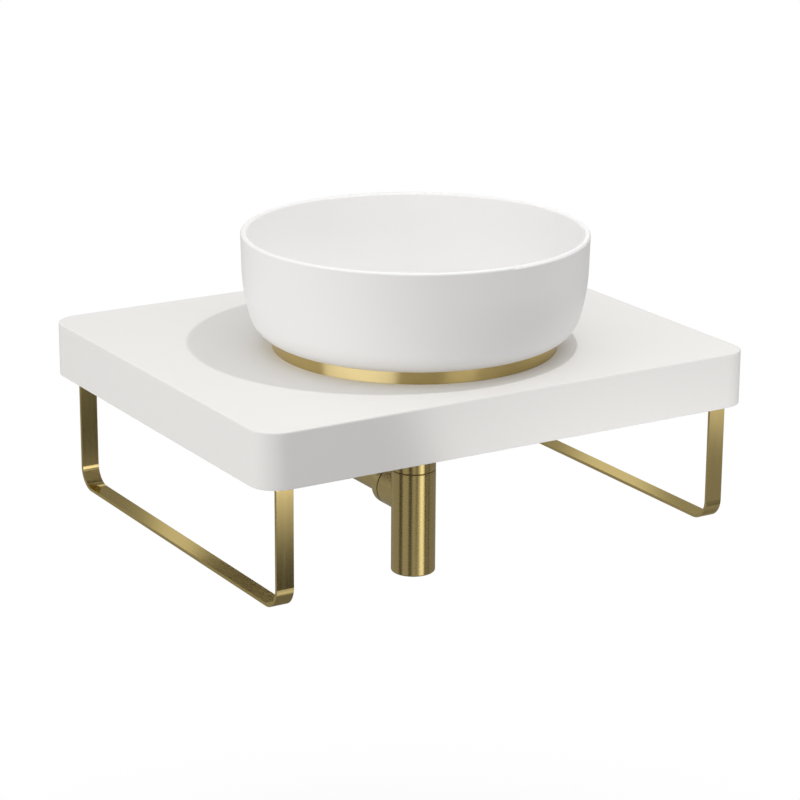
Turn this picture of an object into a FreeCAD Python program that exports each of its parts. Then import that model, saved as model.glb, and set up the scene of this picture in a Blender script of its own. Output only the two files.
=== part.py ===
"""Wall-hung wash basin with shelf: round basin on a brass ring, hollow shelf, towel rails and bottle trap.

Millimetres, +Z up, +X to the right, the wall is the plane y = 0 and the front faces -Y.
The origin is the middle of the shelf's rear face.
"""
import FreeCAD
import Part
import Sketcher
import math
import os
import re

# Driving sizes: lengths in millimetres, angles in degrees.
SIZES = {
    # Shelf, cast as a hollow tray that is open below.
    "shelf_width": 600,
    "shelf_depth": 500,
    "shelf_height": 60,
    "shelf_corner": 30,
    "shelf_top_round": 1.8,
    "shelf_foot_round": 1,
    "apron_wall": 18,
    "deck_thick": 20,
    "rib_thick": 10,
    "rib_drop": 20,
    "rib_bolt_gap": 40,
    "pad_wide": 36,
    "pad_deep": 52,
    "pocket_round": 6,
    # Wall bolts and the steel plates that spread their load.
    "bolt_end_gap": 80,
    "bolt_pitch": 80,
    "bolt_below_deck": 20,
    "bolt_hole": 6,
    "plate_thick": 4,
    "plate_margin": 18,
    "plate_tall": 30,
    # Ring under the basin.
    "basin_setback": 292,
    "ring_radius": 155,
    "ring_height": 13,
    "ring_wall": 5,
    "gasket_wide": 2,
    "gasket_deep": 1.5,
    # Basin, a turned profile: foot, tight heel, slow belly and a nearly upright wall.
    "basin_height": 113.5,
    "basin_wall": 7,
    "rim_round": 2.5,
    "foot_angle": 13,
    "heel_angle": 74,
    "wall_angle": 88.6,
    "heel_round": 32.4,
    "belly_round": 217,
    "inner_heel_round": 14,
    "floor_angle": 2,
    # Waste with its flange in the basin floor.
    "flange_radius": 31.5,
    "flange_thick": 3,
    "flange_play": 1,
    "flange_bevel": 0.8,
    "seal_thick": 1.5,
    "tail_radius": 20.95,
    "tail_wall": 2,
    "tail_play": 2,
    "tail_reach": 16,
    "seat_radius": 22.5,
    "seat_drop": 3.5,
    "lower_seal_radius": 29,
    "lower_seal_thick": 4,
    "locknut_flats": 54,
    "locknut_height": 12,
    "nut_bevel": 2,
    "spider_drop": 22,
    "spider_height": 6,
    "spider_hub": 11,
    "spoke_wide": 3.5,
    "spoke_count": 3,
    # Push plug and its cartridge.
    "cap_radius": 29,
    "cap_rest": 0.5,
    "cap_edge": 2.2,
    "cap_crown": 3,
    "cap_under_bevel": 0.8,
    "cap_neck": 16,
    "cap_lip": 0.8,
    "cap_lip_thick": 2,
    "plug_seal_thick": 3.4,
    "plug_seal_radius": 20.5,
    "plug_seal_bevel": 1.4,
    "stem_radius": 3.5,
    "stem_spigot": 3,
    "stem_spigot_long": 4,
    "plug_travel": 9,
    "cartridge_radius": 8,
    "cartridge_wall": 1.8,
    "cartridge_collar": 10.5,
    "collar_thick": 2.5,
    "cartridge_head": 5,
    "chamber_long": 25,
    "piston_long": 4,
    "piston_play": 0.4,
    "spring_wire": 0.5,
    "spring_radius": 4.6,
    "spring_turns": 6,
    # Pipes and the joint under the waste.
    "pipe_radius": 16,
    "pipe_wall": 1.5,
    "washer_thick": 2,
    "tube_flange": 20,
    "tube_flange_thick": 3,
    "union_flats": 52,
    "union_grip": 12,
    "union_lip": 4,
    # Bottle trap.
    "trap_radius": 24.7,
    "trap_wall": 2,
    "trap_drop": 143,
    "trap_length": 119,
    "trap_edge": 2,
    "trap_neck": 21.5,
    "trap_neck_long": 16,
    "trap_seal_thick": 4,
    "trap_nut_wall": 4,
    "trap_nut_edge": 2,
    "trap_shoulder": 2.5,
    "seam_bevel": 0.9,
    "dip_clear": 10,
    "outlet_drop": 31.2,
    "socket_radius": 23.6,
    "socket_reach": 39.5,
    "socket_neck": 19.8,
    "socket_neck_long": 8.5,
    "outlet_seal_thick": 3.5,
    "outlet_nut_wall": 4,
    "outlet_nut_round": 6,
    "pipe_stop": 30,
    "spigot_long": 40,
    "spigot_mark_wide": 1,
    "spigot_mark_deep": 0.3,
    "rosette_radius": 36,
    "rosette_deep": 14,
    "rosette_rim": 3,
    "rosette_wall": 1.5,
    "rosette_hub": 18.5,
    # Cleaning plug in the trap's base.
    "plug_flange": 20,
    "plug_flange_thick": 3,
    "plug_thread": 17,
    "plug_thread_long": 6,
    "plug_groove": 15.2,
    "plug_groove_long": 2.2,
    "slot_wide": 3,
    "slot_long": 24,
    "slot_deep": 1.8,
    # Towel rails bent from flat strip.
    "rail_wide": 20,
    "rail_thick": 3.5,
    "rail_side_inset": 22,
    "rail_front_inset": 15.5,
    "rail_wall_gap": 25,
    "rail_drop": 134,
    "rail_bend": 24,
    "rail_tab_bend": 5,
    "rail_tab": 44,
    "rail_edge": 0.4,
    "screw_first": 15,
    "screw_second": 33,
    "screw_hole": 2.75,
    "screw_radius": 2.5,
    "screw_head": 5,
    "screw_long": 14,
    "screw_key": 1.7,
    "screw_key_deep": 1.5,
    "insert_radius": 3.6,
    "insert_long": 12,
    # Clearances.
    "close_fit": 0.05,
    "free_fit": 0.3,
}

# Places and shared sizes that follow from the driving sizes.
LAYOUT = {
    "deck_top": "shelf_height / 2",
    "shelf_foot": "-shelf_height / 2",
    "deck_under": "deck_top - deck_thick",
    "rib_foot": "deck_under - rib_drop",
    "inner_side": "shelf_width / 2 - apron_wall",
    "inner_front": "-shelf_depth + apron_wall",
    "inner_rear": "-apron_wall",
    "pad_side": "inner_side - pad_wide",
    "pad_front": "inner_front + pad_deep",
    "pad_rear": "inner_rear - pad_deep",
    "bolt_level": "deck_under - bolt_below_deck",
    "bolt_outer": "shelf_width / 2 - bolt_end_gap",
    "bolt_inner": "bolt_outer - bolt_pitch",
    "rib_place": "bolt_inner - rib_bolt_gap",
    "basin_foot": "deck_top + ring_height",
    "rim_top": "basin_foot + basin_height",
    "heel_r": "ring_radius + heel_round * (sin(heel_angle * 1 deg) - sin(foot_angle * 1 deg))",
    "heel_z": "basin_foot + heel_round * (cos(foot_angle * 1 deg) - cos(heel_angle * 1 deg))",
    "belly_r": "heel_r + belly_round * (sin(wall_angle * 1 deg) - sin(heel_angle * 1 deg))",
    "belly_z": "heel_z + belly_round * (cos(heel_angle * 1 deg) - cos(wall_angle * 1 deg))",
    "rim_r": "belly_r + (rim_top - belly_z) / tan(wall_angle * 1 deg)",
    "in_belly_r": "belly_r - basin_wall * sin(wall_angle * 1 deg)",
    "in_belly_z": "belly_z + basin_wall * cos(wall_angle * 1 deg)",
    "in_rim_r": "in_belly_r + (rim_top - in_belly_z) / tan(wall_angle * 1 deg)",
    "in_heel_r": "heel_r - basin_wall * sin(heel_angle * 1 deg)",
    "in_heel_z": "heel_z + basin_wall * cos(heel_angle * 1 deg)",
    "floor_r": "in_heel_r - inner_heel_round * (sin(heel_angle * 1 deg) - sin(floor_angle * 1 deg))",
    "floor_z": "in_heel_z - inner_heel_round * (cos(floor_angle * 1 deg) - cos(heel_angle * 1 deg))",
    "recess_radius": "flange_radius + flange_play",
    "drain_floor": "floor_z - (floor_r - recess_radius) * tan(floor_angle * 1 deg)",
    "flange_under": "drain_floor - flange_thick",
    "flange_bed": "flange_under - seal_thick",
    "waste_hole": "tail_radius + tail_play",
    "tail_bore": "tail_radius - tail_wall",
    "lower_seal_foot": "deck_under - lower_seal_thick",
    "locknut_foot": "lower_seal_foot - locknut_height",
    "tail_end": "locknut_foot - tail_reach",
    "spider_top": "drain_floor - spider_drop",
    "collar_top": "spider_top + collar_thick",
    "chamber_top": "spider_top - cartridge_head",
    "chamber_floor": "chamber_top - chamber_long",
    "chamber_radius": "cartridge_radius - cartridge_wall",
    "piston_top": "chamber_top - plug_travel - free_fit",
    "piston_foot": "piston_top - piston_long",
    "cap_under": "drain_floor + cap_rest",
    "cap_side_top": "cap_under + cap_edge",
    "cap_top": "cap_side_top + cap_crown",
    "cap_dome": "(cap_radius * cap_radius + cap_crown * cap_crown) / (2 * cap_crown)",
    "plug_seal_foot": "cap_under - plug_seal_thick",
    "cap_foot": "plug_seal_foot - cap_lip_thick",
    "spigot_top": "cap_foot + stem_spigot_long",
    "washer_foot": "tail_end - washer_thick",
    "tube_flange_foot": "washer_foot - tube_flange_thick",
    "union_top": "tail_end + union_grip",
    "union_foot": "tube_flange_foot - union_lip",
    "seam": "deck_top - trap_drop",
    "trap_foot": "seam - trap_length",
    "neck_top": "seam + trap_neck_long",
    "trap_seal_top": "neck_top + trap_seal_thick",
    "trap_nut_top": "trap_seal_top + trap_nut_wall",
    "chamber_side": "trap_radius - trap_wall",
    "plug_recess_top": "trap_foot + plug_flange_thick + free_fit",
    "trap_floor": "plug_recess_top + plug_thread_long",
    "dip_end": "trap_floor + dip_clear",
    "outlet_level": "seam - outlet_drop",
    "pipe_bore": "pipe_radius - pipe_wall",
    "socket_end": "-basin_setback + socket_reach",
    "socket_neck_end": "socket_end + socket_neck_long",
    "outlet_seal_end": "socket_neck_end + outlet_seal_thick",
    "outlet_nut_end": "outlet_seal_end + outlet_nut_wall",
    "pipe_start": "-basin_setback + pipe_stop",
    "rail_x": "shelf_width / 2 - rail_side_inset - rail_wide / 2",
    "rail_front": "-shelf_depth + rail_front_inset",
    "rail_rear": "-rail_wall_gap",
    "rail_foot": "shelf_foot - rail_drop",
    "rail_tab_foot": "shelf_foot - rail_thick",
}

doc = FreeCAD.newDocument("WashBasinWithShelf")


def formula(text):
    """Expression that reads the named sizes from their sheets."""
    def placed(match):
        word = match.group()
        if word in SIZES:
            return "Sizes." + word
        return "Layout." + word if word in LAYOUT else word
    return re.sub(r"[a-z_]+", placed, text)


def fill_sheet(name, rows):
    sheet = doc.addObject("Spreadsheet::Sheet", name)
    for row, (word, content) in enumerate(rows, 1):
        sheet.set("A%d" % row, word)
        sheet.set("B%d" % row, content)
        sheet.setAlias("B%d" % row, word)
    doc.recompute()
    return sheet


sizes = fill_sheet("Sizes", [(word, str(value)) for word, value in SIZES.items()])
layout = fill_sheet("Layout", [(word, "=" + formula(text)) for word, text in LAYOUT.items()])

pieces = []


def number(word):
    """Present value of a size, for finding edges."""
    return float(sizes.get(word) if word in SIZES else layout.get(word))


def bind(thing, **texts):
    for name, text in texts.items():
        thing.setExpression(name.replace("__", "."), formula(text))


def new_body(label, **place):
    body = doc.addObject("PartDesign::Body", label)
    body.Label = label
    bind(body, **{"Placement__Base__" + axis: text for axis, text in place.items()})
    pieces.append(body)
    return body


def new_sketch(body, name, role, shift="0", lift="0"):
    """Sketch on one of the body's own planes, shifted up in the plane or lifted off it."""
    sketch = body.newObject("Sketcher::SketchObject", body.Label + "_" + name)
    plane = [feature for feature in body.Origin.OriginFeatures if feature.Role == role]
    sketch.AttachmentSupport = [(plane[0], "")]
    sketch.MapMode = "FlatFace"
    bind(sketch, AttachmentOffset__Base__y=shift, AttachmentOffset__Base__z=lift)
    return sketch


def hold(sketch, constraint, text):
    row = sketch.addConstraint(constraint)
    sketch.setExpression("Constraints[%d]" % row, formula(text))


def fixed_point(sketch, x, y):
    """Construction point held at x and y from the sketch's origin."""
    point = sketch.addGeometry(Part.Point(FreeCAD.Vector(1, 1, 0)), True)
    hold(sketch, Sketcher.Constraint("DistanceX", -1, 1, point, 1, 1.0), x)
    hold(sketch, Sketcher.Constraint("DistanceY", -1, 1, point, 1, 1.0), y)
    return point


def quarter_arc(start, end, centre_on_left):
    """Arc between two points, with its centre on the given side of the way from start to end."""
    chord = end - start
    side = FreeCAD.Vector(-chord.y, chord.x, 0) * (0.5 if centre_on_left else -0.5)
    centre = (start + end) * 0.5 + side
    first, last = (start, end) if centre_on_left else (end, start)
    circle = Part.Circle(centre, FreeCAD.Vector(0, 0, 1), (start - centre).Length)
    angles = [math.atan2(point.y - centre.y, point.x - centre.x) for point in (first, last)]
    return Part.ArcOfCircle(circle, *angles)


def draw(sketch, corners):
    """Closed outline through corners (x, y); (x, y, radius, side) starts an arc to the next corner."""
    points = [fixed_point(sketch, corner[0], corner[1]) for corner in corners]
    sketch.recompute()
    places = [FreeCAD.Vector(sketch.Geometry[point].X, sketch.Geometry[point].Y, 0) for point in points]
    for index, corner in enumerate(corners):
        after = (index + 1) % len(corners)
        if len(corner) == 2:
            edge = sketch.addGeometry(Part.LineSegment(places[index], places[after]), False)
            ends = (1, 2)
        else:
            on_left = corner[3] == "left"
            edge = sketch.addGeometry(quarter_arc(places[index], places[after], on_left), False)
            ends = (1, 2) if on_left else (2, 1)
        sketch.addConstraint(Sketcher.Constraint("Coincident", edge, ends[0], points[index], 1))
        sketch.addConstraint(Sketcher.Constraint("Coincident", edge, ends[1], points[after], 1))
        if len(corner) == 4:
            hold(sketch, Sketcher.Constraint("Radius", edge, sketch.Geometry[edge].Radius), corner[2])


def rounded(left, low, right, high, radius):
    """Corners of a rectangle with rounded corners, anticlockwise."""
    return [(left + " + " + radius, low),
            (right + " - " + radius, low, radius, "left"),
            (right, low + " + " + radius),
            (right, high + " - " + radius, radius, "left"),
            (right + " - " + radius, high),
            (left + " + " + radius, high, radius, "left"),
            (left, high + " - " + radius),
            (left, low + " + " + radius, radius, "left")]


def draw_circle(sketch, x, y, radius):
    point = fixed_point(sketch, x, y)
    sketch.recompute()
    centre = FreeCAD.Vector(sketch.Geometry[point].X, sketch.Geometry[point].Y, 0)
    circle = sketch.addGeometry(Part.Circle(centre, FreeCAD.Vector(0, 0, 1), 1), False)
    sketch.addConstraint(Sketcher.Constraint("Coincident", circle, 3, point, 1))
    hold(sketch, Sketcher.Constraint("Radius", circle, 1.0), radius)


def add_feature(body, kind, name, sketch, reverse=False, **texts):
    """Pad or pocket; one that changes no volume is an error."""
    before = body.Shape.Volume if body.Tip else 0.0
    feature = body.newObject("PartDesign::" + kind, body.Label + "_" + name)
    feature.Profile = sketch
    feature.Reversed = reverse
    bind(feature, **texts)
    doc.recompute()
    if abs(body.Shape.Volume - before) < 1e-6:
        raise RuntimeError(feature.Label + " changes nothing")
    return feature


def turn(body, name, corners, role="XZ_Plane", axis="V_Axis", shift="0", kind="Revolution"):
    """Full turn of an outline, added as a Revolution or taken away as a Groove."""
    sketch = new_sketch(body, name + "_profile", role, shift)
    draw(sketch, corners)
    before = body.Shape.Volume if body.Tip else 0.0
    feature = body.newObject("PartDesign::" + kind, body.Label + "_" + name)
    feature.Profile = sketch
    feature.ReferenceAxis = (sketch, [axis])
    feature.Angle = 360
    doc.recompute()
    if abs(body.Shape.Volume - before) < 1e-6:
        raise RuntimeError(feature.Label + " changes nothing")
    return feature


def turned_piece(label, corners):
    """Piece turned on the basin's axis, heights measured from the origin."""
    body = new_body(label, y="-basin_setback")
    turn(body, "turned", corners)
    return body


def piped_piece(label, corners):
    """Piece turned on the outlet's axis, lengths measured from the wall."""
    body = new_body(label, z="outlet_level")
    turn(body, "turned", corners, "YZ_Plane", "H_Axis")
    return body


def ring_corners(inside, outside, low, high):
    return [(inside, low), (outside, low), (outside, high), (inside, high)]


def edges_where(feature, test):
    found = ["Edge%d" % index for index, edge in enumerate(feature.Shape.Edges, 1) if test(edge)]
    if not found:
        raise RuntimeError("no edge found on " + feature.Label)
    return found


def dress(body, kind, name, base, edges, **texts):
    feature = body.newObject("PartDesign::" + kind, body.Label + "_" + name)
    feature.Base = (base, edges)
    bind(feature, **texts)
    doc.recompute()
    return feature


def near(value, word, tolerance=1e-4):
    return abs(value - number(word)) < tolerance


def is_circle(edge, radius, height):
    round_edge = isinstance(edge.Curve, Part.Circle)
    return round_edge and near(edge.Curve.Radius, radius) and near(edge.Curve.Center.z, height)


# Shelf: a cast tray with an apron, ribs under the deck and solid pads for the rails' screws.
def make_shelf():
    body = new_body("shelf_slab")
    plan = new_sketch(body, "plan", "XY_Plane", lift="shelf_foot")
    half = "shelf_width / 2"
    draw(plan, rounded("-" + half, "-shelf_depth", half, "0", "shelf_corner"))
    block = add_feature(body, "Pad", "block", plan, Length="shelf_height")
    top = edges_where(block, lambda edge: all(near(v.Z, "deck_top") for v in edge.Vertexes))
    crown = dress(body, "Fillet", "top_round", block, top, Radius="shelf_top_round")
    foot = edges_where(crown, lambda edge: all(near(v.Z, "shelf_foot") for v in edge.Vertexes))
    dress(body, "Fillet", "foot_round", crown, foot, Radius="shelf_foot_round")

    hollow = new_sketch(body, "hollow_plan", "XY_Plane", lift="shelf_foot")
    draw(hollow, [("-pad_side", "inner_front"), ("pad_side", "inner_front"),
                  ("pad_side", "pad_front"), ("inner_side", "pad_front"),
                  ("inner_side", "pad_rear"), ("pad_side", "pad_rear"),
                  ("pad_side", "inner_rear"), ("-pad_side", "inner_rear"),
                  ("-pad_side", "pad_rear"), ("-inner_side", "pad_rear"),
                  ("-inner_side", "pad_front"), ("-pad_side", "pad_front")])
    add_feature(body, "Pocket", "hollow", hollow, True, Length="shelf_height - deck_thick - rib_drop")

    bays = new_sketch(body, "bays_plan", "XY_Plane", lift="rib_foot")
    near_rib = "rib_place - rib_thick / 2"
    far_rib = "rib_place + rib_thick / 2"
    draw(bays, rounded("-(" + near_rib + ")", "inner_front", near_rib, "inner_rear", "pocket_round"))
    for sign in ("", "-"):
        draw(bays, [(sign + "(" + far_rib + ")", "inner_front"), (sign + "pad_side", "inner_front"),
                    (sign + "pad_side", "pad_front"), (sign + "inner_side", "pad_front"),
                    (sign + "inner_side", "pad_rear"), (sign + "pad_side", "pad_rear"),
                    (sign + "pad_side", "inner_rear"), (sign + "(" + far_rib + ")", "inner_rear")])
    add_feature(body, "Pocket", "bays", bays, True, Length="rib_drop")

    drain = new_sketch(body, "drain_plan", "XY_Plane", lift="deck_top")
    draw_circle(drain, "0", "-basin_setback", "waste_hole")
    add_feature(body, "Pocket", "drain", drain, Length="deck_thick")

    bolts = new_sketch(body, "bolt_plan", "XZ_Plane")
    for x in ("bolt_inner", "-bolt_inner", "bolt_outer", "-bolt_outer"):
        draw_circle(bolts, x, "bolt_level", "bolt_hole")
    add_feature(body, "Pocket", "bolt_holes", bolts, True, Length="apron_wall")

    sockets = new_sketch(body, "insert_plan", "XY_Plane", lift="shelf_foot")
    for x, y in screw_places():
        draw_circle(sockets, x, y, "insert_radius + close_fit")
    add_feature(body, "Pocket", "insert_holes", sockets, True, Length="insert_long + close_fit")


def screw_places():
    return [(x, y) for x in ("rail_x", "-rail_x") for y in (
        "rail_front + screw_first", "rail_front + screw_second",
        "rail_rear - screw_first", "rail_rear - screw_second")]


# Steel plates behind the rear apron, two holes each.
def make_wall_plates():
    plates = []
    for side, sign in (("left", "-"), ("right", "")):
        plate = doc.addObject("Part::Box", side + "_plate_blank")
        reach = "(bolt_inner - plate_margin)" if sign == "" else "(-bolt_outer - plate_margin)"
        bind(plate, Length="bolt_outer - bolt_inner + 2 * plate_margin", Width="plate_thick",
             Height="plate_tall", Placement__Base__x=reach, Placement__Base__y="inner_rear - plate_thick",
             Placement__Base__z="bolt_level - plate_tall / 2")
        holes = []
        for place in ("bolt_inner", "bolt_outer"):
            hole = doc.addObject("Part::Cylinder", side + "_" + place + "_hole")
            hole.Placement.Rotation = FreeCAD.Rotation(FreeCAD.Vector(1, 0, 0), 90)
            bind(hole, Radius="bolt_hole", Height="plate_thick", Placement__Base__x=sign + place,
                 Placement__Base__y="inner_rear", Placement__Base__z="bolt_level")
            holes.append(hole)
        drilled = plate
        for hole in holes:
            cut = doc.addObject("Part::Cut", hole.Name + "_cut")
            cut.Base = drilled
            cut.Tool = hole
            drilled = cut
        plates.append(drilled)
    group_piece("wall_plates", plates)


def group_piece(label, solids):
    """Like solids that share one node."""
    group = doc.addObject("Part::Compound", label)
    group.Label = label
    group.Links = solids
    pieces.append(group)


# Brass ring, grooved above and below for a gasket.
def make_ring():
    groove_in = "ring_radius - ring_wall / 2 - gasket_wide / 2"
    groove_out = "ring_radius - ring_wall / 2 + gasket_wide / 2"
    inside = "ring_radius - ring_wall"
    turned_piece("base_ring", [
        (inside, "deck_top"), (groove_in, "deck_top"),
        (groove_in, "deck_top + gasket_deep"), (groove_out, "deck_top + gasket_deep"),
        (groove_out, "deck_top"), ("ring_radius", "deck_top"), ("ring_radius", "basin_foot"),
        (groove_out, "basin_foot"), (groove_out, "basin_foot - gasket_deep"),
        (groove_in, "basin_foot - gasket_deep"), (groove_in, "basin_foot"), (inside, "basin_foot")])
    turned_piece("ring_lower_gasket", ring_corners(
        groove_in + " + close_fit", groove_out + " - close_fit", "deck_top", "deck_top + gasket_deep"))
    turned_piece("ring_upper_gasket", ring_corners(
        groove_in + " + close_fit", groove_out + " - close_fit", "basin_foot - gasket_deep", "basin_foot"))


# Basin: tangent arcs outside and inside, a floor that falls to the drain and a rounded rim.
def make_basin():
    body = turned_piece("basin_bowl", [
        ("waste_hole", "basin_foot"),
        ("ring_radius", "basin_foot", "heel_round", "left"),
        ("heel_r", "heel_z", "belly_round", "left"),
        ("belly_r", "belly_z"),
        ("rim_r", "rim_top"),
        ("in_rim_r", "rim_top"),
        ("in_belly_r", "in_belly_z", "belly_round - basin_wall", "right"),
        ("in_heel_r", "in_heel_z", "inner_heel_round", "right"),
        ("floor_r", "floor_z"),
        ("recess_radius", "drain_floor"),
        ("recess_radius", "flange_bed"),
        ("waste_hole", "flange_bed")])
    rim = edges_where(body.Tip, lambda edge: is_circle(edge, "rim_r", "rim_top")
                      or is_circle(edge, "in_rim_r", "rim_top"))
    dress(body, "Fillet", "rim_round", body.Tip, rim, Radius="rim_round")


# Waste: flanged tail with a spider that carries the plug's cartridge.
def make_waste():
    body = turned_piece("waste_body", [
        ("tail_bore", "tail_end"), ("tail_radius", "tail_end"), ("tail_radius", "flange_under"),
        ("flange_radius", "flange_under"), ("flange_radius", "drain_floor - flange_bevel"),
        ("flange_radius - flange_bevel", "drain_floor"), ("seat_radius", "drain_floor"),
        ("tail_bore", "drain_floor - seat_drop")])
    spoke = new_sketch(body, "spoke_plan", "XY_Plane", lift="spider_top")
    spoke_start = "cartridge_radius + close_fit"
    spoke_end = "tail_bore + tail_wall / 2"
    draw(spoke, [(spoke_start, "-spoke_wide / 2"), (spoke_end, "-spoke_wide / 2"),
                 (spoke_end, "spoke_wide / 2"), (spoke_start, "spoke_wide / 2")])
    pad = add_feature(body, "Pad", "spoke", spoke, True, Length="spider_height")
    pattern = body.newObject("PartDesign::PolarPattern", "waste_body_spokes")
    pattern.Originals = [pad]
    pattern.Axis = (spoke, ["N_Axis"])
    pattern.Angle = 360
    bind(pattern, Occurrences="spoke_count")
    body.Tip = pattern
    doc.recompute()
    hub = new_sketch(body, "hub_plan", "XY_Plane", lift="spider_top")
    draw_circle(hub, "0", "0", "spider_hub")
    add_feature(body, "Pad", "hub", hub, True, Length="spider_height")
    bore = new_sketch(body, "hub_bore_plan", "XY_Plane", lift="spider_top")
    draw_circle(bore, "0", "0", spoke_start)
    add_feature(body, "Pocket", "hub_bore", bore, Length="spider_height")

    turned_piece("waste_flange_seal", ring_corners(
        "waste_hole", "flange_radius", "flange_bed", "flange_under"))
    turned_piece("waste_lower_seal", ring_corners(
        "tail_radius + close_fit", "lower_seal_radius", "lower_seal_foot", "deck_under"))


def hex_nut(label, flats, low, high, profile):
    """Nut cut from a turned blank, so that its hexagon has bevelled corners."""
    blank = turned_piece(label + "_blank", profile)
    pieces.remove(blank)
    prism = doc.addObject("Part::Prism", label + "_hexagon")
    prism.Polygon = 6
    bind(prism, Circumradius=flats + " / (2 * cos(30 deg))", Height=high + " - (" + low + ")",
         Placement__Base__y="-basin_setback", Placement__Base__z=low)
    nut = doc.addObject("Part::Common", label)
    nut.Label = label
    nut.Base = blank
    nut.Tool = prism
    pieces.append(nut)


def make_nuts():
    corner = "locknut_flats / (2 * cos(30 deg))"
    hex_nut("waste_locknut", "locknut_flats", "locknut_foot", "lower_seal_foot", [
        ("tail_radius + close_fit", "locknut_foot"), (corner + " - nut_bevel", "locknut_foot"),
        (corner, "locknut_foot + nut_bevel"), (corner, "lower_seal_foot"),
        ("tail_radius + close_fit", "lower_seal_foot")])
    corner = "union_flats / (2 * cos(30 deg))"
    hex_nut("union_nut", "union_flats", "union_foot", "union_top", [
        ("pipe_radius + free_fit", "union_foot"), (corner + " - nut_bevel", "union_foot"),
        (corner, "union_foot + nut_bevel"), (corner, "union_top - nut_bevel"),
        (corner + " - nut_bevel", "union_top"), ("tail_radius + close_fit", "union_top"),
        ("tail_radius + close_fit", "tube_flange_foot"), ("pipe_radius + free_fit", "tube_flange_foot")])


# Push plug: domed cap, seal, stem with its piston, cartridge and spring.
def make_plug():
    socket = "stem_spigot + close_fit"
    turned_piece("plug_cap", [
        ("0", "spigot_top"), (socket, "spigot_top"), (socket, "cap_foot"),
        ("cap_neck + cap_lip", "cap_foot"), ("cap_neck + cap_lip", "plug_seal_foot"),
        ("cap_neck", "plug_seal_foot"), ("cap_neck", "cap_under"),
        ("cap_radius - cap_under_bevel", "cap_under"), ("cap_radius", "cap_under + cap_under_bevel"),
        ("cap_radius", "cap_side_top", "cap_dome", "left"), ("0", "cap_top")])
    turned_piece("plug_seal", [
        ("cap_neck + close_fit", "plug_seal_foot"), ("plug_seal_radius - plug_seal_bevel", "plug_seal_foot"),
        ("plug_seal_radius", "plug_seal_foot + plug_seal_bevel"), ("plug_seal_radius", "cap_under"),
        ("cap_neck + close_fit", "cap_under")])
    piston = "chamber_radius - piston_play"
    turned_piece("plug_stem", [
        ("0", "piston_foot"), (piston, "piston_foot"), (piston, "piston_top"), ("stem_radius", "piston_top"),
        ("stem_radius", "cap_foot"), ("stem_spigot", "cap_foot"), ("stem_spigot", "spigot_top"),
        ("0", "spigot_top")])
    guide = "stem_radius + close_fit"
    turned_piece("plug_cartridge", [
        ("0", "chamber_floor - cartridge_wall"), ("cartridge_radius", "chamber_floor - cartridge_wall"),
        ("cartridge_radius", "spider_top"), ("cartridge_collar", "spider_top"),
        ("cartridge_collar", "collar_top"), (guide, "collar_top"), (guide, "chamber_top"),
        ("chamber_radius", "chamber_top"), ("chamber_radius", "chamber_floor"), ("0", "chamber_floor")])
    body = new_body("plug_spring", y="-basin_setback")
    wire = new_sketch(body, "wire", "XZ_Plane")
    draw_circle(wire, "spring_radius", "chamber_floor + spring_wire + close_fit", "spring_wire")
    coil = body.newObject("PartDesign::AdditiveHelix", "plug_spring_coil")
    coil.Profile = wire
    coil.ReferenceAxis = (wire, ["V_Axis"])
    coil.Mode = "height-turns-angle"
    coil.Angle = 0
    bind(coil, Turns="spring_turns",
         Height="piston_foot - chamber_floor - 2 * spring_wire - free_fit - close_fit")
    doc.recompute()


# Inlet tube that dips into the trap, with its washer and the nut and seal on the trap's neck.
def make_inlet():
    turned_piece("union_washer", ring_corners("tail_bore", "tail_radius", "washer_foot", "tail_end"))
    turned_piece("inlet_tube", [
        ("pipe_bore", "dip_end"), ("pipe_radius", "dip_end"), ("pipe_radius", "tube_flange_foot"),
        ("tube_flange", "tube_flange_foot"), ("tube_flange", "washer_foot"), ("pipe_bore", "washer_foot")])
    turned_piece("trap_seal", ring_corners(
        "pipe_radius + close_fit", "trap_neck", "neck_top", "trap_seal_top"))
    turned_piece("trap_nut", [
        ("trap_neck + close_fit", "seam"), ("trap_radius - seam_bevel", "seam"),
        ("trap_radius", "seam + seam_bevel"),
        ("trap_radius", "trap_nut_top - trap_nut_edge", "trap_nut_edge", "left"),
        ("trap_radius - trap_nut_edge", "trap_nut_top"), ("pipe_radius + free_fit", "trap_nut_top"),
        ("pipe_radius + free_fit", "trap_seal_top"), ("trap_neck + close_fit", "trap_seal_top")])


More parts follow.
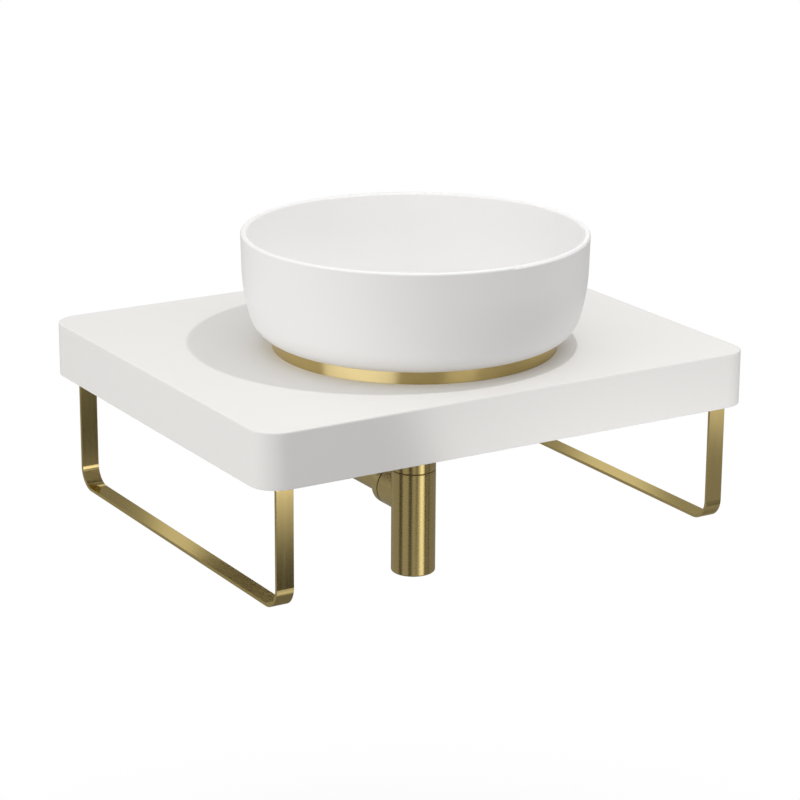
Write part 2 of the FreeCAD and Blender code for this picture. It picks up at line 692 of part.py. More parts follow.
# Trap body: a turned bottle with a side socket, hollowed out, and a threaded hole in its base.
def make_trap():
    body = turned_piece("trap_body", [
        ("0", "trap_foot"), ("trap_radius - trap_edge", "trap_foot", "trap_edge", "left"),
        ("trap_radius", "trap_foot + trap_edge"), ("trap_radius", "seam - seam_bevel"),
        ("trap_radius - seam_bevel", "seam"), ("trap_neck", "seam"),
        ("trap_neck", "neck_top"), ("0", "neck_top")])
    neck_reach = "socket_reach + socket_neck_long"
    turn(body, "socket", [
        ("0", "0"), (neck_reach, "0"), (neck_reach, "socket_neck"),
        ("socket_reach", "socket_neck"), ("socket_reach", "socket_radius - seam_bevel"),
        ("socket_reach - seam_bevel", "socket_radius"), ("0", "socket_radius")],
        "YZ_Plane", "H_Axis", "outlet_level")
    turn(body, "chamber", [
        ("0", "trap_floor"), ("chamber_side", "trap_floor"), ("chamber_side", "seam - trap_shoulder"),
        ("0", "seam - trap_shoulder")], kind="Groove")
    turn(body, "inlet_bore", [
        ("0", "seam - trap_shoulder"), ("pipe_radius + free_fit", "seam - trap_shoulder"),
        ("pipe_radius + free_fit", "neck_top"), ("0", "neck_top")], kind="Groove")
    turn(body, "plug_hole", [
        ("0", "trap_foot"), ("plug_flange + free_fit", "trap_foot"),
        ("plug_flange + free_fit", "plug_recess_top"), ("plug_thread + free_fit", "plug_recess_top"),
        ("plug_thread + free_fit", "trap_floor"), ("0", "trap_floor")], kind="Groove")
    turn(body, "outlet_bore", [
        ("0", "0"), (neck_reach, "0"), (neck_reach, "pipe_radius + free_fit"),
        ("pipe_stop", "pipe_radius + free_fit"), ("pipe_stop", "pipe_bore"), ("0", "pipe_bore")],
        "YZ_Plane", "H_Axis", "outlet_level", "Groove")


# Cleaning plug, screwed into the trap's base from below.
def make_cleaning_plug():
    thread_foot = "trap_foot + plug_flange_thick"
    groove_top = thread_foot + " + plug_groove_long"
    body = turned_piece("cleaning_plug", [
        ("0", "trap_foot"), ("plug_flange", "trap_foot"), ("plug_flange", thread_foot),
        ("plug_groove", thread_foot), ("plug_groove", groove_top), ("plug_thread", groove_top),
        ("plug_thread", "trap_floor"), ("0", "trap_floor")])
    slot = new_sketch(body, "slot_plan", "XY_Plane", lift="trap_foot")
    draw(slot, [("-slot_long / 2", "-slot_wide / 2"), ("slot_long / 2", "-slot_wide / 2"),
                ("slot_long / 2", "slot_wide / 2"), ("-slot_long / 2", "slot_wide / 2")])
    add_feature(body, "Pocket", "slot", slot, True, Length="slot_deep")
    turned_piece("cleaning_oring", ring_corners(
        "plug_groove + close_fit", "plug_thread", thread_foot + " + close_fit", groove_top + " - close_fit"))


# Outlet to the wall: seal, rounded nut, pipe with a mark turned where its spigot starts, sliding rosette.
def make_outlet():
    piped_piece("outlet_seal", [
        ("socket_neck_end", "pipe_radius + close_fit"), ("outlet_seal_end", "pipe_radius + close_fit"),
        ("outlet_seal_end", "socket_neck"), ("socket_neck_end", "socket_neck")])
    piped_piece("outlet_nut", [
        ("socket_end", "socket_neck + close_fit"), ("outlet_seal_end", "socket_neck + close_fit"),
        ("outlet_seal_end", "pipe_radius + free_fit"), ("outlet_nut_end", "pipe_radius + free_fit"),
        ("outlet_nut_end", "socket_radius - outlet_nut_round", "outlet_nut_round", "left"),
        ("outlet_nut_end - outlet_nut_round", "socket_radius"),
        ("socket_end + seam_bevel", "socket_radius"), ("socket_end", "socket_radius - seam_bevel")])
    mark = "pipe_radius - spigot_mark_deep"
    piped_piece("outlet_pipe", [
        ("pipe_start", "pipe_bore"), ("spigot_long", "pipe_bore"), ("spigot_long", "pipe_radius"),
        ("0", "pipe_radius"), ("0", mark), ("-spigot_mark_wide", mark),
        ("-spigot_mark_wide", "pipe_radius"), ("pipe_start", "pipe_radius")])
    bore = "pipe_radius + close_fit"
    rim_inside = "rosette_radius - rosette_wall"
    piped_piece("wall_flange", [
        ("0", "rosette_radius"), ("-rosette_rim", "rosette_radius"), ("-rosette_deep", "rosette_hub"),
        ("-rosette_deep", bore), ("-rosette_rim", bore), ("-rosette_rim", "rosette_hub"),
        ("-rosette_deep + 2 * rosette_wall", "rosette_hub"), ("-rosette_rim + rosette_wall", rim_inside),
        ("0", rim_inside)])


# Towel rails: one strip with two bends, its ends turned in under the shelf and screwed to the pads.
def make_rails():
    for label, x in (("left_towel_rail", "-rail_x"), ("right_towel_rail", "rail_x")):
        body = new_body(label, x=x)
        side = new_sketch(body, "side", "YZ_Plane")
        draw(side, [
            ("rail_rear - rail_tab", "shelf_foot"),
            ("rail_rear - rail_tab", "rail_tab_foot"),
            ("rail_rear - rail_tab_bend", "rail_tab_foot", "rail_tab_bend - rail_thick", "right"),
            ("rail_rear - rail_thick", "shelf_foot - rail_tab_bend"),
            ("rail_rear - rail_thick", "rail_foot + rail_bend", "rail_bend - rail_thick", "right"),
            ("rail_rear - rail_bend", "rail_foot + rail_thick"),
            ("rail_front + rail_bend", "rail_foot + rail_thick", "rail_bend - rail_thick", "right"),
            ("rail_front + rail_thick", "rail_foot + rail_bend"),
            ("rail_front + rail_thick", "shelf_foot - rail_tab_bend", "rail_tab_bend - rail_thick", "right"),
            ("rail_front + rail_tab_bend", "rail_tab_foot"),
            ("rail_front + rail_tab", "rail_tab_foot"),
            ("rail_front + rail_tab", "shelf_foot"),
            ("rail_front + rail_tab_bend", "shelf_foot", "rail_tab_bend", "left"),
            ("rail_front", "shelf_foot - rail_tab_bend"),
            ("rail_front", "rail_foot + rail_bend", "rail_bend", "left"),
            ("rail_front + rail_bend", "rail_foot"),
            ("rail_rear - rail_bend", "rail_foot", "rail_bend", "left"),
            ("rail_rear", "rail_foot + rail_bend"),
            ("rail_rear", "shelf_foot - rail_tab_bend", "rail_tab_bend", "left"),
            ("rail_rear - rail_tab_bend", "shelf_foot")])
        strip = body.newObject("PartDesign::Pad", label + "_strip")
        strip.Profile = side
        strip.SideType = "Symmetric"
        bind(strip, Length="rail_wide")
        doc.recompute()
        flanks = ["Face%d" % index for index, face in enumerate(strip.Shape.Faces, 1)
                  if abs(abs(face.CenterOfMass.x) - number("rail_wide") / 2) < 1e-4]
        dress(body, "Fillet", "edge", strip, flanks, Radius="rail_edge")
        holes = new_sketch(body, "hole_plan", "XY_Plane", lift="shelf_foot")
        for _, y in screw_places()[:4]:
            draw_circle(holes, "0", y, "screw_hole")
        drilled = add_feature(body, "Pocket", "holes", holes, Length="rail_thick")
        mouths = edges_where(drilled, lambda edge: is_circle(edge, "screw_hole", "rail_tab_foot"))
        dress(body, "Chamfer", "countersinks", drilled, mouths, Size="screw_head - screw_radius")


# Countersunk screws in the rails' tabs and the threaded inserts above them.
def make_rail_fixings():
    screws = []
    inserts = []
    for index, (x, y) in enumerate(screw_places()):
        where = {"Placement__Base__x": x, "Placement__Base__y": y}
        head = doc.addObject("Part::Cone", "screw_head_%d" % index)
        bind(head, Radius1="screw_head", Radius2="screw_radius", Height="screw_head - screw_radius",
             Placement__Base__z="rail_tab_foot", **where)
        shank = doc.addObject("Part::Cylinder", "screw_shank_%d" % index)
        bind(shank, Radius="screw_radius", Height="screw_long", Placement__Base__z="rail_tab_foot", **where)
        whole = doc.addObject("Part::Fuse", "screw_blank_%d" % index)
        whole.Base = head
        whole.Tool = shank
        key = doc.addObject("Part::Prism", "screw_key_%d" % index)
        key.Polygon = 6
        bind(key, Circumradius="screw_key", Height="screw_key_deep",
             Placement__Base__z="rail_tab_foot", **where)
        screw = doc.addObject("Part::Cut", "screw_%d" % index)
        screw.Base = whole
        screw.Tool = key
        screws.append(screw)
        shell = doc.addObject("Part::Cylinder", "insert_shell_%d" % index)
        bind(shell, Radius="insert_radius", Height="insert_long", Placement__Base__z="shelf_foot", **where)
        thread = doc.addObject("Part::Cylinder", "insert_thread_%d" % index)
        bind(thread, Radius="screw_radius + close_fit", Height="insert_long",
             Placement__Base__z="shelf_foot", **where)
        insert = doc.addObject("Part::Cut", "insert_%d" % index)
        insert.Base = shell
        insert.Tool = thread
        inserts.append(insert)
    group_piece("rail_screws", screws)
    group_piece("rail_inserts", inserts)


make_shelf()
make_wall_plates()
make_ring()
make_basin()
make_waste()
make_nuts()
make_plug()
make_inlet()
make_trap()
make_cleaning_plug()
make_outlet()
make_rails()
make_rail_fixings()

doc.recompute()
for thing in doc.Objects:
    if "Invalid" in thing.State or "Error" in thing.State:
        raise RuntimeError(thing.Label + " failed")
for piece in pieces:
    if piece.Shape.isNull() or not piece.Shape.isValid():
        raise RuntimeError(piece.Label + " has no sound shape")

os.makedirs("parts", exist_ok=True)
for piece in pieces:
    piece.Shape.exportStep("parts/" + piece.Label + ".step")
    print(piece.Label, len(piece.Shape.Solids), "solids", round(piece.Shape.Volume / 1000, 2), "cm3")
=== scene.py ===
"""Looks of the wash basin with shelf: finishes for its pieces, a studio round it and the camera."""
import math

import bmesh
import bpy
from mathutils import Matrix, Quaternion, Vector


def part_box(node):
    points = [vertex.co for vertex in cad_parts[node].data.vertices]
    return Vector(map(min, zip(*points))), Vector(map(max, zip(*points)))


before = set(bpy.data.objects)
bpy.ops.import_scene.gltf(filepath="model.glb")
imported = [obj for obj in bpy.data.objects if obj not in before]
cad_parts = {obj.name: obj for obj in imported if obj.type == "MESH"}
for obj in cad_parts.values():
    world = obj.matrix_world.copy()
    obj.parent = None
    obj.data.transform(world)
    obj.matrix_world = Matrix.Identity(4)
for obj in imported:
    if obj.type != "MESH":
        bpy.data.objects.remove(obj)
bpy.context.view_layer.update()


# Shelf. One hollow casting of white mineral and resin, matt where the mould was polished. Its underside is
# left as cast, with a coarser skin between the ribs. It hangs on wall bolts through the rear apron.
class Wire:
    """One output in a finish's node tree. Sums on wires add Math nodes, and node() adds any other node."""

    def __init__(self, tree, socket):
        self.tree = tree
        self.socket = socket

    def node(self, kind, settings=None, sockets=None, output=0):
        made = self.tree.nodes.new("ShaderNode" + kind)
        for name, value in (settings or {}).items():
            setattr(made, name, value)
        for name, value in (sockets or {}).items():
            if isinstance(value, Wire):
                self.tree.links.new(value.socket, made.inputs[name])
            else:
                made.inputs[name].default_value = value
        return Wire(self.tree, made.outputs[output])

    def math(self, operation, *values):
        return self.node("Math", {"operation": operation}, dict(enumerate((self, *values))))

    def __add__(self, other):
        return self.math("ADD", other)

    __radd__ = __add__

    def __mul__(self, other):
        return self.math("MULTIPLY", other)

    __rmul__ = __mul__

    def __sub__(self, other):
        return self.math("SUBTRACT", other)

    def __rsub__(self, other):
        return self * -1.0 + other

    def __pow__(self, other):
        return self.math("POWER", other)

    def __abs__(self):
        return self.math("ABSOLUTE")

    def fade(self, low, high):
        """0 below low and 1 above high, with a smooth rise between them."""
        limits = {"Value": self, "From Min": low, "From Max": high}
        return self.node("MapRange", {"interpolation_type": "SMOOTHSTEP"}, limits)

    def parts(self):
        """The x, y and z of a vector."""
        split = self.node("SeparateXYZ", sockets={0: self})
        return [Wire(self.tree, end) for end in split.socket.node.outputs]

    def noise(self, scale, detail=2.0):
        return self.node("TexNoise", sockets={"Vector": self, "Scale": scale, "Detail": detail})

    def tint(self, dark, light):
        """A colour between two colours or wires, with this wire as the factor."""
        ends = [end if isinstance(end, Wire) else (*end, 1.0) for end in (dark, light)]
        return self.node("Mix", {"data_type": "RGBA"}, {0: self, 6: ends[0], 7: ends[1]}, output=2)

    def bump(self, depth):
        return self.node("Bump", sockets={"Height": self, "Distance": depth, "Strength": 1.0})


def new_finish(name, constants):
    """A Principled material with its constant sockets set, and a wire of its Object coordinates."""
    finish = bpy.data.materials.new(name)
    finish.use_nodes = True
    tree = finish.node_tree
    for socket, value in constants.items():
        tree.nodes["Principled BSDF"].inputs[socket].default_value = value
    return finish, Wire(tree, tree.nodes.new("ShaderNodeTexCoord").outputs["Object"])


def feed(finish, wires):
    """Links the values that vary over the surface to the finish's shader."""
    tree = finish.node_tree
    for socket, wire in wires.items():
        tree.links.new(wire.socket, tree.nodes["Principled BSDF"].inputs[socket])


def coat(finish, *names):
    """Puts a finish on CAD nodes."""
    for name in names:
        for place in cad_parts[name].material_slots:
            place.material = finish


WARM_WHITE = (0.820, 0.804, 0.780)
COOL_WHITE = (0.812, 0.801, 0.784)
AS_CAST_GREY = (0.80, 0.79, 0.775)
shelf_low, shelf_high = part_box("shelf_slab")
apron_wall = 0.0175
deck_height = 0.012
edge_blur = 0.0003
relief_depth = 0.00012
inner_side = shelf_high[0] - apron_wall
inner_front = shelf_low[1] + apron_wall
inner_rear = shelf_high[1] - apron_wall

shelf_finish, spot = new_finish("cast_mineral_shelf", {"IOR": 1.48, "Specular IOR Level": 0.3})
across, along, up = spot.parts()
clouds = spot.noise(6.0, 3.0)
grain = spot.noise(1400.0)
skin = spot.noise(220.0, 4.0)
between_sides = 1.0 - abs(across).fade(inner_side, inner_side + edge_blur)
behind_front = along.fade(inner_front - edge_blur, inner_front)
before_rear = 1.0 - along.fade(inner_rear, inner_rear + edge_blur)
under_deck = 1.0 - up.fade(deck_height, deck_height + edge_blur)
hollow = between_sides * behind_front * before_rear * under_deck
polished = clouds.tint(WARM_WHITE, COOL_WHITE)
as_cast = skin.tint(AS_CAST_GREY, WARM_WHITE)
relief = grain * (1.0 - hollow) * 0.15 + skin * hollow
feed(shelf_finish, {
    "Base Color": hollow.tint(polished, as_cast),
    "Roughness": 0.56 + 0.10 * grain + 0.15 * hollow,
    "Normal": relief.bump(relief_depth),
})
coat(shelf_finish, "shelf_slab")


# Wall plates. Zinc-plated steel plates behind the rear apron, which spread the load of the wall bolts over
# the casting. The screws of the rails and the spring of the plug have the same bright zinc.
ZINC_DARK = (0.42, 0.43, 0.44)
ZINC_LIGHT = (0.66, 0.67, 0.68)
zinc_finish, spot = new_finish("zinc_plated_steel", {"Metallic": 1.0})
spangle = spot.node("TexVoronoi", sockets={"Vector": spot, "Scale": 380.0}, output="Color").parts()[0]
haze = spot.noise(45.0, 3.0)
feed(zinc_finish, {
    "Base Color": (0.35 * spangle + 0.65 * haze).tint(ZINC_DARK, ZINC_LIGHT),
    "Roughness": 0.26 + 0.14 * haze + 0.08 * spangle,
})
coat(zinc_finish, "wall_plates", "rail_screws", "plug_spring")


# Base ring. A turned brass ring between the shelf and the basin, brushed round its rim on the lathe and
# lacquered. A rubber gasket lies in a groove of its upper and its lower face.
DEEP_BRASS = (0.66, 0.50, 0.19)
LIGHT_BRASS = (0.80, 0.635, 0.285)
PAINTED_SEAM_SHADE = (0.10, 0.075, 0.035)
BRUSH_LINES = 900.0
TURNED_DEPTH = 0.000003
SEAM_HALF = 0.0007
SEAM_FADE = 0.0012


def brass_look(spot, lines, roughness, depth):
    """What varies on brass whose brush lines follow one wire, with a slight haze in the lacquer."""
    haze = spot.noise(14.0)
    return {
        "Base Color": (0.5 * lines + 0.5 * haze).tint(DEEP_BRASS, LIGHT_BRASS),
        "Roughness": roughness - 0.06 + 0.09 * lines + 0.03 * haze,
        "Normal": lines.bump(depth),
    }


def turned_brass(name, roughness, stretch, centre, axis, seam, seam_shade_share):
    """Brass brushed while it turned about an axis along Y or Z, with painted shade darkening one seam."""
    constants = {"Metallic": 1.0, "Anisotropic": stretch, "Anisotropic Rotation": 0.25}
    finish, spot = new_finish(name, constants)
    x, y, z = spot.parts()
    if axis == "Z":
        side, length = y - centre[1], z
    else:
        side, length = z - centre[2], y
    radius = ((x - centre[0]) ** 2.0 + side ** 2.0) ** 0.5
    ring = spot.node("CombineXYZ", sockets={0: radius, 1: length})
    look = brass_look(spot, ring.noise(BRUSH_LINES, 3.0), roughness, TURNED_DEPTH)
    # Painted shade: a narrow band round the seam is tinted towards dark brown, standing in for the shade in
    # the joint's gap.
    painted_seam_band = seam_shade_share * (1.0 - abs(length - seam).fade(SEAM_HALF, SEAM_FADE))
    look["Base Color"] = painted_seam_band.tint(look["Base Color"], PAINTED_SEAM_SHADE)
    feed(finish, look)
    return finish


ring_low, ring_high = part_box("base_ring")
basin_axis = [(low + high) / 2 for low, high in zip(ring_low, ring_high)]
# The ring's lower edge, where it stands on the shelf, gets a faint band of painted shade.
ring_brass = turned_brass("brass_turned_ring", 0.36, 1.0, basin_axis, "Z", ring_low[2], 0.2)
coat(ring_brass, "base_ring")


# Seals. Black rubber rings and gaskets, moulded and left dull: under and over the base ring, on the waste,
# in the trap's nuts and under the cleaning plug.
BLACK_RUBBER = (0.016, 0.016, 0.017)
DUSTY_RUBBER = (0.034, 0.034, 0.035)
MOULDED_DEPTH = 0.00004
rubber_finish, spot = new_finish("black_rubber", {"IOR": 1.45})
bloom = spot.noise(60.0, 3.0)
moulded = spot.noise(1800.0)
feed(rubber_finish, {
    "Base Color": bloom.tint(BLACK_RUBBER, DUSTY_RUBBER),
    "Roughness": 0.55 + 0.2 * bloom + 0.1 * moulded,
    "Normal": moulded.bump(MOULDED_DEPTH),
})
coat(rubber_finish, "ring_lower_gasket", "ring_upper_gasket", "waste_flange_seal", "waste_lower_seal")
coat(rubber_finish, "plug_seal", "union_washer", "trap_seal", "outlet_seal", "cleaning_oring")


# Basin. A round bowl cast from the same white mineral as the shelf, sanded smoother, and bonded to the
# ring. Its floor falls to the waste in the middle.
BASIN_WARM = (0.890, 0.878, 0.868)
BASIN_COOL = (0.884, 0.876, 0.870)
basin_finish, spot = new_finish("cast_mineral_basin", {"IOR": 1.48})
clouds = spot.noise(8.0, 3.0)
grain = spot.noise(1600.0)
feed(basin_finish, {
    "Base Color": clouds.tint(BASIN_WARM, BASIN_COOL),
    "Roughness": 0.40 + 0.10 * grain,
    "Normal": (0.12 * grain).bump(relief_depth),
})
coat(basin_finish, "basin_bowl")


# Waste and push plug. Turned brass through the basin's floor, drawn down by the locknut under the shelf.
# The plug's cap sits on a stem in a grey plastic cartridge, which its steel spring lifts.
PLASTIC_DARK = (0.40, 0.41, 0.42)
PLASTIC_LIGHT = (0.48, 0.49, 0.50)
trap_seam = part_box("trap_nut")[0][2]
# A band of painted shade darkens the upright brass at the trap nut's lower seam.
upright_brass = turned_brass("brass_turned_upright", 0.28, 0.9, basin_axis, "Z", trap_seam, 0.45)
coat(upright_brass, "waste_body", "waste_locknut", "union_nut", "plug_cap", "plug_stem", "rail_inserts")
plastic_finish, spot = new_finish("grey_moulded_plastic", {"IOR": 1.46})
flow = spot.noise(90.0, 3.0)
feed(plastic_finish, {
    "Base Color": flow.tint(PLASTIC_DARK, PLASTIC_LIGHT),
    "Roughness": 0.36 + 0.12 * flow,
})
coat(plastic_finish, "plug_cartridge")


# Bottle trap. Drawn and turned brass: a tube dips into the body, the nut closes it on a rubber ring, and a
# coin-slotted plug in the base is screwed out to clean it.
coat(upright_brass, "inlet_tube", "trap_nut", "trap_body", "cleaning_plug")


# Outlet. A brass pipe from the trap's side to the wall, held by a rounded nut and covered at the wall by a
# loose rosette. All three are brushed about the pipe's own axis.
pipe_low, pipe_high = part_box("outlet_pipe")
pipe_axis = [(low + high) / 2 for low, high in zip(pipe_low, pipe_high)]
outlet_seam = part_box("outlet_nut")[0][1]
# The outlet nut's seam gets the band of painted shade at full strength.
level_brass = turned_brass("brass_turned_level", 0.28, 0.0, pipe_axis, "Y", outlet_seam, 1.0)
coat(level_brass, "outlet_nut", "outlet_pipe", "wall_flange")


# Towel rails. Brass strip, 20 mm wide, bent into a U under each end of the shelf, brushed along its length
# and held by two countersunk screws in each of its tabs.
EDGE_TINT = (1.0, 0.94, 0.70, 1.0)
STRIP_DEPTH = 0.0000015
rail_finish, spot = new_finish("brass_brushed_strip", {"Metallic": 1.0, "Specular Tint": EDGE_TINT})
strip = spot.node("Mapping", sockets={"Vector": spot, "Scale": (BRUSH_LINES, 5.0, 5.0)})
feed(rail_finish, brass_look(spot, strip.noise(1.0, 2.0), 0.13, STRIP_DEPTH))
coat(rail_finish, "left_towel_rail", "right_towel_rail")


# Studio floor. A white sweep well below the shelf. To the camera and in reflections it is the white
# background, and near the object it keeps a faint shadow. Seen from below it is clear.
floor_height = -0.85
floor_radius = 6.0
floor_segments = 64
shadow_share = 0.12
paper_grey = (0.66, 0.66, 0.66, 1.0)
white = (1.0, 1.0, 1.0, 1.0)


def disc(radius, height, segments):
    """A flat round mesh under or over the basin."""
    mesh = bmesh.new()
    bmesh.ops.create_circle(mesh, cap_ends=True, segments=segments, radius=radius)
    bmesh.ops.translate(mesh, verts=mesh.verts, vec=(0.0, basin_axis[1], height))
    return mesh


def stage_piece(name, mesh, finish):
    """A piece of the studio, which isn't part of the object."""
    data = bpy.data.meshes.new(name)
    mesh.to_mesh(data)
    mesh.free()
    data.materials.append(finish)
    made = bpy.data.objects.new(name, data)
    bpy.context.scene.collection.objects.link(made)
    return made


def stage_finish(name):
    """An empty material of the studio, with a wire of its Object coordinates."""
    finish = bpy.data.materials.new(name)
    finish.use_nodes = True
    tree = finish.node_tree
    tree.nodes.remove(tree.nodes["Principled BSDF"])
    return finish, Wire(tree, tree.nodes.new("ShaderNodeTexCoord").outputs["Object"])


def show(finish, shader):
    """Makes a wire with a shader the surface of a material."""
    tree = finish.node_tree
    tree.links.new(shader.socket, tree.nodes["Material Output"].inputs["Surface"])


def seen_rays(wire):
    """1 for what the camera sees, straight, in a reflection or through something clear."""
    straight = wire.node("LightPath", output="Is Camera Ray")
    reflected = wire.node("LightPath", output="Is Glossy Ray")
    passed = wire.node("LightPath", output="Is Transmission Ray")
    return straight.math("MAXIMUM", reflected).math("MAXIMUM", passed)


def distance_out(x, y):
    """How far a place lies from the basin's axis."""
    return (x ** 2.0 + (y - basin_axis[1]) ** 2.0) ** 0.5


floor_finish, spot = stage_finish("white_floor")
x, y, z = spot.parts()
out = distance_out(x, y)
glow = spot.node("Emission", sockets={"Color": white, "Strength": 1.0})
paper = spot.node("BsdfDiffuse", sockets={"Color": paper_grey})
white_share = seen_rays(spot) * (1.0 - shadow_share + shadow_share * out.fade(0.45, 1.0))
top = spot.node("MixShader", sockets={0: white_share, 1: paper, 2: glow})
clear = spot.node("BsdfTransparent")
below = spot.node("NewGeometry", output="Backfacing")
both = spot.node("MixShader", sockets={0: below, 1: top, 2: clear})
show(floor_finish, both)
stage_piece("studio_floor", disc(floor_radius, floor_height, floor_segments), floor_finish)


# Panels and flag. A ring of white panels with dark gaps round the object and a grey flag over the floor,
# seen only in glossy surfaces. In the brass they draw the bright and dark stripes of brushed metal. Panels
# are placed by their bearing in degrees, 0 at the front and 90 at the right, and by their height.
panel_radius = 1.2
panel_low = floor_height + 0.01
panel_high = 0.9
panel_middle = (panel_low + panel_high) / 2
panel_segments = 96
panel_mesh = bmesh.new()
bmesh.ops.create_cone(panel_mesh, segments=panel_segments, radius1=panel_radius, radius2=panel_radius,
                      depth=panel_high - panel_low)
bmesh.ops.translate(panel_mesh, verts=panel_mesh.verts, vec=(0.0, basin_axis[1], panel_middle))


def bearing_of(x, y):
    """The direction of a place from the basin's axis, in degrees from the front."""
    return x.math("ARCTAN2", basin_axis[1] - y) * (180.0 / math.pi)


def band(value, low, high, soft):
    """1 between low and high, 0 outside, with soft edges."""
    return value.fade(low - soft, low + soft) * (1.0 - value.fade(high - soft, high + soft))


def reflected_only(name, mesh, finish, level):
    """A piece of the studio that glows at a level and shows only in glossy surfaces."""
    show(finish, level.node("Emission", sockets={"Color": level}))
    finish.cycles.emission_sampling = "NONE"
    made = stage_piece(name, mesh, finish)
    made.visible_camera = False
    made.visible_diffuse = False
    made.visible_shadow = False
    made.visible_transmission = False
    made.visible_volume_scatter = False


panel_finish, spot = stage_finish("panels_and_flags")
x, y, z = spot.parts()
bearing = bearing_of(x, y)
above_deck = z.fade(0.01, 0.05)
rear_wall = 0.26 * (1.0 - band(bearing, -108.5, 122.0, 1.5)) - 0.08 * band(bearing, 169.5, 190.0, 1.5)
left_wall = 0.36 * band(bearing, -89.0, -56.0, 2.0)
rear_left_high = 0.15 * band(bearing, -190.0, -111.0, 1.5) * above_deck
near_strip = 0.38 * band(bearing, -38.0, -20.0, 3.0) * (1.0 - above_deck)
front_foot = 0.57 * band(bearing, -9.0, 15.5, 1.5) * z.fade(-0.53, -0.43)
front_grey = 0.03 * band(bearing, 15.5, 25.0, 1.5)
front_glow = 1.3 * band(bearing, 7.0, 21.0, 3.0) * z.fade(-0.43, -0.37) * (1.0 - z.fade(-0.14, -0.08))
front_low = 0.5 * band(bearing, -20.0, 28.0, 5.0) * (1.0 - z.fade(-0.70, -0.66))
side_foot = 0.15 + 0.07 * z.fade(-0.52, -0.46) + 0.64 * z.fade(-0.37, -0.285)
side_panel = band(bearing, 37.0, 49.0, 2.0) * side_foot * (1.0 - z.fade(-0.28, -0.24))
right_wall = 0.20 * band(bearing, 57.0, 122.0, 4.0) * (1.0 - 0.6 * above_deck)
front_high = 0.27 * band(bearing, -4.0, 40.0, 8.0) * above_deck
tall_card = z.fade(0.36, 0.42)
right_card = band(bearing, 130.5, 136.5, 2.0) * z.fade(0.08, 0.14)
left_card = band(bearing, 164.3, 168.0, 1.2) * z.fade(0.20, 0.26)
low_cards = (0.46 * right_card + 0.45 * left_card) * (1.0 - tall_card)
back_cards = low_cards + 0.45 * tall_card * band(bearing, 125.0, 172.0, 3.0)
front = front_foot + front_grey + front_glow + front_low + front_high
sides = left_wall + near_strip + side_panel + right_wall
rear = rear_wall + rear_left_high + back_cards
gap_level = 0.05
reflected_only("panels_and_flags", panel_mesh, panel_finish, gap_level + front + sides + rear)

flag_finish, spot = stage_finish("floor_flag")
x, y, z = spot.parts()
rim_level = 0.10 + 0.45 * band(bearing_of(x, y), -20.0, 28.0, 5.0)
flag_level = 0.18 + rim_level * distance_out(x, y).fade(0.65, 0.95)
flag_mesh = disc(panel_radius, panel_low, panel_segments)
reflected_only("floor_flag", flag_mesh, flag_finish, flag_level)


# Ceiling and shade card. The ceiling closes the ring of panels in reflections and is darker behind the
# shelf. The card under the shelf keeps the floor's light off the shelf's underside and shows nowhere.
ceiling_mesh = disc(panel_radius, panel_high, panel_segments)
ceiling_finish, spot = stage_finish("ceiling")
x, y, z = spot.parts()
reflected_only("ceiling", ceiling_mesh, ceiling_finish, 1.0 - 0.8 * y.fade(0.10, 0.30))

card_half_size = (0.34, 0.30, 1.0)
card_place = (0.0, -0.25, -0.21)
card_grey = (0.05, 0.05, 0.05, 1.0)
card_mesh = bmesh.new()
bmesh.ops.create_grid(card_mesh, x_segments=1, y_segments=1, size=1.0)
bmesh.ops.scale(card_mesh, verts=card_mesh.verts, vec=card_half_size)
bmesh.ops.translate(card_mesh, verts=card_mesh.verts, vec=card_place)
card_finish, spot = stage_finish("shade_card")
show(card_finish, spot.node("BsdfDiffuse", sockets={"Color": card_grey}))
shade_card = stage_piece("shade_card", card_mesh, card_finish)
shade_card.visible_camera = False
shade_card.visible_glossy = False
shade_card.visible_shadow = False
shade_card.visible_transmission = False
shade_card.visible_volume_scatter = False


# Lamps. A small hard lamp high in front draws the basin's shadow on the shelf, and a large soft one stands
# to the left. A low spot brightens only the right of the apron, a weak fill only the basin, and two strips
# draw the bright stripes of the brass ring and of the trap.
def lamp(name, kind, place, aim, power, size):
    """A lamp that lights the object and isn't seen itself."""
    data = bpy.data.lights.new(name, kind)
    data.energy = power
    if kind == "AREA":
        data.shape = "DISK"
        data.size = size
    else:
        data.shadow_soft_size = size
    made = bpy.data.objects.new(name, data)
    made.location = place
    made.rotation_euler = (Vector(aim) - Vector(place)).to_track_quat("-Z", "Y").to_euler()
    made.visible_camera = False
    made.visible_glossy = False
    bpy.context.scene.collection.objects.link(made)
    return made


def strip_lamp(name, place, aim, power, width, height):
    """A rectangle of light that shows in glossy surfaces."""
    made = lamp(name, "AREA", place, aim, power, width)
    made.data.shape = "RECTANGLE"
    made.data.size_y = height
    made.visible_glossy = True
    return made


def light_only(source, *names):
    """Keeps a lamp's light to some CAD nodes."""
    lit = bpy.data.collections.new("lit_by_" + source.name)
    for name in names:
        lit.objects.link(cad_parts[name])
    source.light_linking.receiver_collection = lit


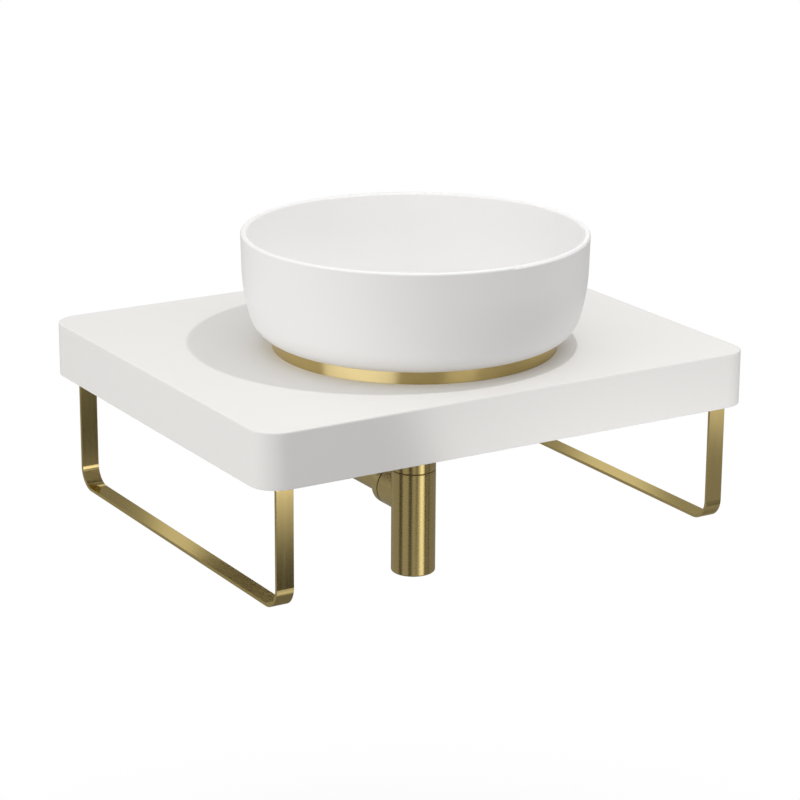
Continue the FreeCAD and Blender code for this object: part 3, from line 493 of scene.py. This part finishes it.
lamp("hard_key", "POINT", (0.206, -0.587, 1.224), basin_axis, power=15.0, size=0.02)
lamp("soft_left", "AREA", (-2.1, -0.45, 0.35), basin_axis, power=13.0, size=1.4)
apron_spot = lamp("apron_spot", "SPOT", (0.16, -0.85, -0.35), (0.16, -0.5, 0.0), power=4.6, size=0.03)
apron_spot.data.spot_size = math.radians(64.0)
apron_spot.data.spot_blend = 0.3
ring_strip = strip_lamp("ring_strip", (-0.861, -0.552, 0.25), (0.016, -0.308, 0.25),
                        power=5.75, width=0.98, height=0.375)
ring_strip.data.color = (0.68, 0.74, 1.0)
trap_strip = strip_lamp("trap_strip", (0.20, -1.128, -0.42), (0.0, basin_axis[1], -0.42),
                        power=0.70, width=0.40, height=0.75)
basin_fill = lamp("basin_fill", "AREA", (1.5, -1.2, 0.0), basin_axis, power=1.4, size=1.0)
light_only(apron_spot, "shelf_slab")
light_only(basin_fill, "basin_bowl")
light_only(ring_strip, "base_ring")
light_only(trap_strip, "trap_body", "trap_nut")


# Room light. A white room lights everything softly, most from overhead. To the camera and in reflections it
# is plain white.
HORIZON_LEVEL = 0.30
OVERHEAD_LEVEL = 0.91
room_world = bpy.data.worlds.new("white_room")
bpy.context.scene.world = room_world
room_world.use_nodes = True
room_tree = room_world.node_tree
room_wire = Wire(room_tree, room_tree.nodes.new("ShaderNodeTexCoord").outputs["Generated"])
overhead = room_wire.parts()[2].fade(0.05, 0.60)
room_level = HORIZON_LEVEL + (OVERHEAD_LEVEL - HORIZON_LEVEL) * overhead
ambient = room_wire.node("Background", sockets={"Color": room_level, "Strength": 1.0})
backdrop = room_wire.node("Background", sockets={"Color": white, "Strength": 1.0})
sky = room_wire.node("MixShader", sockets={0: seen_rays(room_wire), 1: ambient, 2: backdrop})
room_tree.links.new(sky.socket, room_tree.nodes["World Output"].inputs["Surface"])


# Camera. A long lens, a little above the basin and to the left of the front. Its place, direction and roll
# were fitted to the outlines in the photo.
camera_place = (-1.524541, -2.770075, 0.859638)
camera_azimuth = math.radians(31.2952)
camera_elevation = math.radians(17.0816)
camera_roll = math.radians(0.323)
level_reach = math.cos(camera_elevation)
look = Vector((
    math.sin(camera_azimuth) * level_reach,
    math.cos(camera_azimuth) * level_reach,
    -math.sin(camera_elevation),
))
camera_data = bpy.data.cameras.new("camera")
camera_data.sensor_width = 36.0
camera_data.lens = 125.20
camera = bpy.data.objects.new("camera", camera_data)
camera.location = camera_place
camera.rotation_mode = "QUATERNION"
camera.rotation_quaternion = look.to_track_quat("-Z", "Y") @ Quaternion((0.0, 0.0, 1.0), camera_roll)
bpy.context.scene.collection.objects.link(camera)
bpy.context.scene.camera = camera
bpy.context.scene.view_settings.view_transform = "Standard"
